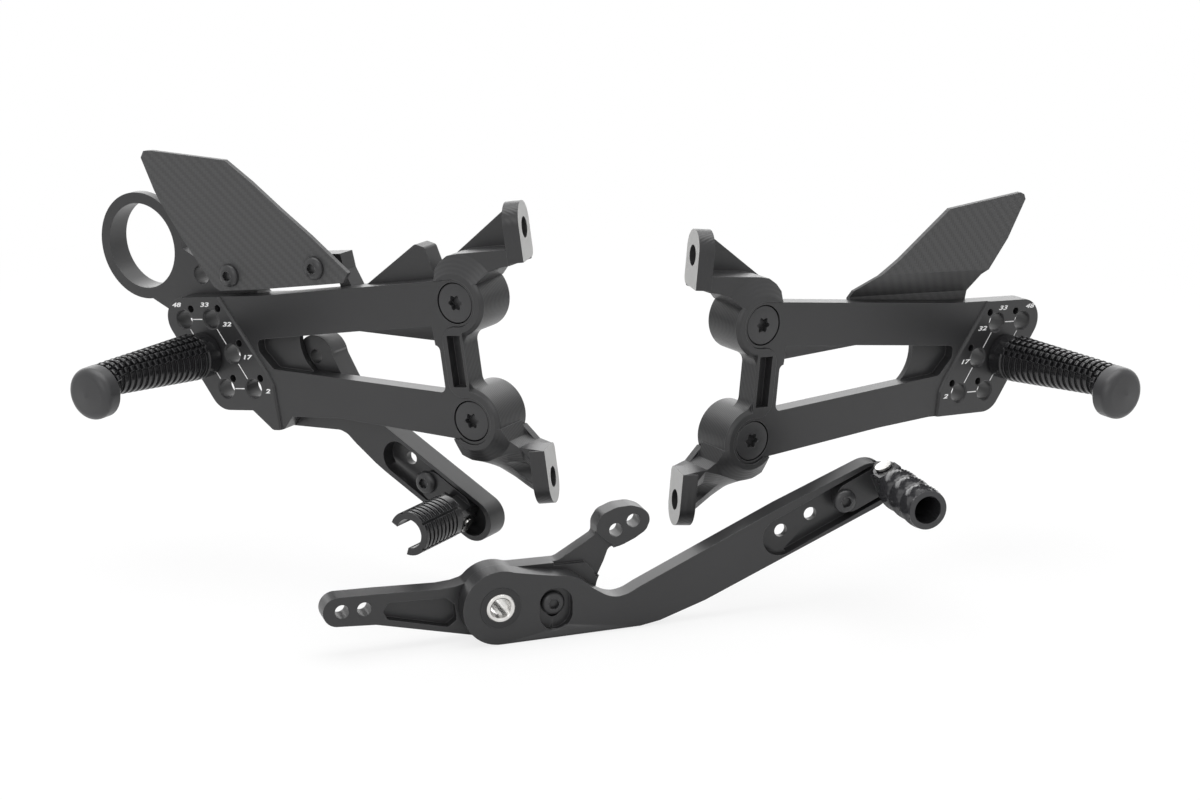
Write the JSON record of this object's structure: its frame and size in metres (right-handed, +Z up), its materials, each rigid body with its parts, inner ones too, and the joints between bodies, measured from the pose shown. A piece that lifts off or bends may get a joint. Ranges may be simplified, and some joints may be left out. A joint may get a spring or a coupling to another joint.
{
  "type": "rear sets footrest",
  "caption": "Motorcycle rear sets: right and left footrest brackets with footpegs, heel guards, brake lever and separate shift lever.",
  "frame": {"origin": "centre of the right upper frame hole at the pad's outer face", "axes": "+Z up, +Y away from the camera of the picture, +X to its right; the three groups stand as pictured"},
  "size_m": [0.4388, 0.1842, 0.167],
  "materials": {
    "black_anodised": "satin black anodised",
    "grip_black": "gloss black anodised",
    "cap_black": "satin black",
    "carbon_sheet": "matt woven carbon",
    "black_screw": "black oxide",
    "bare_steel": "bright",
    "dark_bearing": "dark satin"
  },
  "bodies": {
    "fixed_parts": {"brake_pivot_bolt": "black_screw", "carrier_inner_screw": "black_screw", "carrier_outer_screw": "black_screw", "cylinder_carrier": "black_anodised", "left_arm_plate": "black_anodised", "left_frame_bracket": "black_anodised", "left_guard_inner_screw": "black_screw", "left_guard_outer_screw": "black_screw", "left_heel_guard": "carbon_sheet", "left_lower_bracket_screw": "black_screw", "left_peg_adapter": "grip_black", "left_peg_bolt": "black_screw", "left_peg_cap": "cap_black", "left_peg_pin": "bare_steel", "left_peg_sleeve": "grip_black", "left_upper_bracket_screw": "black_screw", "right_arm_plate": "black_anodised", "right_frame_bracket": "black_anodised", "right_guard_inner_screw": "black_screw", "right_guard_inner_spacer": "black_anodised", "right_guard_outer_screw": "black_screw", "right_guard_outer_spacer": "black_anodised", "right_heel_guard": "carbon_sheet", "right_lower_bracket_screw": "black_screw", "right_peg_adapter": "grip_black", "right_peg_bolt": "black_screw", "right_peg_cap": "cap_black", "right_peg_pin": "bare_steel", "right_peg_sleeve": "grip_black", "right_upper_bracket_screw": "black_screw", "shift_pivot_bush": "bare_steel"},
    "brake_lever_body": {"brake_lever": "black_anodised", "brake_pivot_bush": "bare_steel", "brake_toe_holder": "black_anodised", "brake_toe_pin": "bare_steel", "brake_toe_screw": "black_screw"},
    "brake_toe": {"brake_toe_peg": "grip_black"},
    "shift_lever_body": {"shift_bearing": "dark_bearing", "shift_clamp_screw": "black_screw", "shift_lever": "black_anodised", "shift_rocker": "black_anodised", "shift_toe_holder": "black_anodised", "shift_toe_pin": "bare_steel", "shift_toe_screw": "black_screw"},
    "shift_toe": {"shift_toe_peg": "grip_black"}
  },
  "joints": [
    {"name": "brake_lever_turn", "type": "hinge", "parent": "fixed_parts", "child": "brake_lever_body", "pos_m": [-0.09715, 0.0626, -0.08848], "axis": [0.5344, 0.8453, 0], "range_deg": [0, 8], "stiffness_Nm_per_rad": 0.3, "springref_deg": -34.38},
    {"name": "brake_toe_fold", "type": "hinge", "parent": "brake_lever_body", "child": "brake_toe", "pos_m": [-0.03045, 0.0086, -0.12039], "axis": [-0.747, 0.4722, 0.4679], "range_deg": [0, 45], "stiffness_Nm_per_rad": 0.1, "springref_deg": -34.38},
    {"name": "shift_lever_turn", "type": "hinge", "parent": "fixed_parts", "child": "shift_lever_body", "pos_m": [-0.01138, -0.04203, -0.1388], "axis": [0.3223, -0.9466, 0], "range_deg": [-10, 10], "stiffness_Nm_per_rad": 4},
    {"name": "shift_toe_fold", "type": "hinge", "parent": "shift_lever_body", "child": "shift_toe", "pos_m": [0.14479, -0.00365, -0.1036], "axis": [0.385, 0.1311, -0.9135], "range_deg": [0, 60], "stiffness_Nm_per_rad": 0.1, "springref_deg": -34.38}
  ]
}
